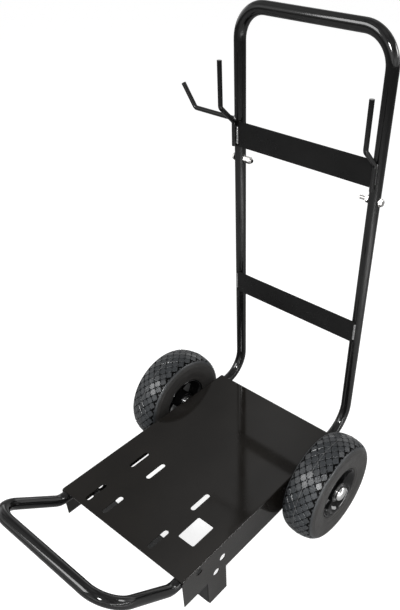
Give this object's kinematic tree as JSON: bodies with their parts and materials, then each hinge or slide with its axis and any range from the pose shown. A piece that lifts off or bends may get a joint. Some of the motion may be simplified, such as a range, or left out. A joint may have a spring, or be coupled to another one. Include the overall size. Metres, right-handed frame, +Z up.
{
  "type": "pressure washer cart",
  "caption": "Two-wheel cart with a folded slotted deck, bent-tube push handle, front carrying loop, cross plates and rod hooks for a pressure washer.",
  "frame": {"origin": "on the ground, at the middle of the cart's overall width and length", "axes": "+Z up; +Y from the front carrying handle to the push handle; +X to the right as seen from in front of the cart"},
  "size_m": [0.632, 0.776, 1.0595],
  "materials": {
    "tube_paint": "gloss black powder coat",
    "deck_paint": "gloss black powder coat on sheet",
    "plate_paint": "satin black powder coat",
    "weld": "rough weld bead under thin paint",
    "bare_steel": "bare turned or drawn steel",
    "zinc": "bright zinc plating",
    "chrome": "polished",
    "bearing_steel": "ground steel",
    "rim_paint": "gloss black",
    "tyre": "matt moulded rubber",
    "valve_rubber": "matt"
  },
  "bodies": {
    "frame": {"deck_plate": "deck_paint", "foot_brace": "plate_paint", "front_handle": "tube_paint", "rear_tube_left": "tube_paint", "rear_tube_right": "tube_paint", "upper_handle": "tube_paint", "joint_sleeve_left": "bare_steel", "joint_sleeve_right": "bare_steel", "handle_bolt_left": "zinc", "handle_bolt_right": "zinc", "head_washer_left": "zinc", "head_washer_right": "zinc", "handle_nut_left": "zinc", "handle_nut_right": "zinc", "cross_plate_lower": "plate_paint", "cross_plate_upper": "plate_paint", "lower_plate_weld_left": "weld", "lower_plate_weld_right": "weld", "upper_plate_weld_left": "weld", "upper_plate_weld_right": "weld", "front_hook_left": "tube_paint", "front_hook_right": "tube_paint", "hook_weld_left": "weld", "hook_weld_right": "weld", "side_hook": "tube_paint", "side_hook_weld": "weld", "axle": "bare_steel", "spacer_left": "bare_steel", "spacer_right": "bare_steel", "end_washer_left": "zinc", "end_washer_right": "zinc", "axle_cap_left": "chrome", "axle_cap_right": "chrome"},
    "wheel_left": {"tyre_left": "tyre", "rim_left": "rim_paint", "bearing_inner_left": "bearing_steel", "bearing_outer_left": "bearing_steel", "valve_left": "valve_rubber"},
    "wheel_right": {"tyre_right": "tyre", "rim_right": "rim_paint", "bearing_inner_right": "bearing_steel", "bearing_outer_right": "bearing_steel", "valve_right": "valve_rubber"}
  },
  "joints": [
    {"name": "wheel_spin_left", "type": "hinge", "parent": "frame", "child": "wheel_left", "pos_m": [-0.229, 0.1905, 0.13], "axis": [1, 0, 0], "continuous": true},
    {"name": "wheel_spin_right", "type": "hinge", "parent": "frame", "child": "wheel_right", "pos_m": [0.267, 0.1905, 0.13], "axis": [1, 0, 0], "continuous": true}
  ]
}
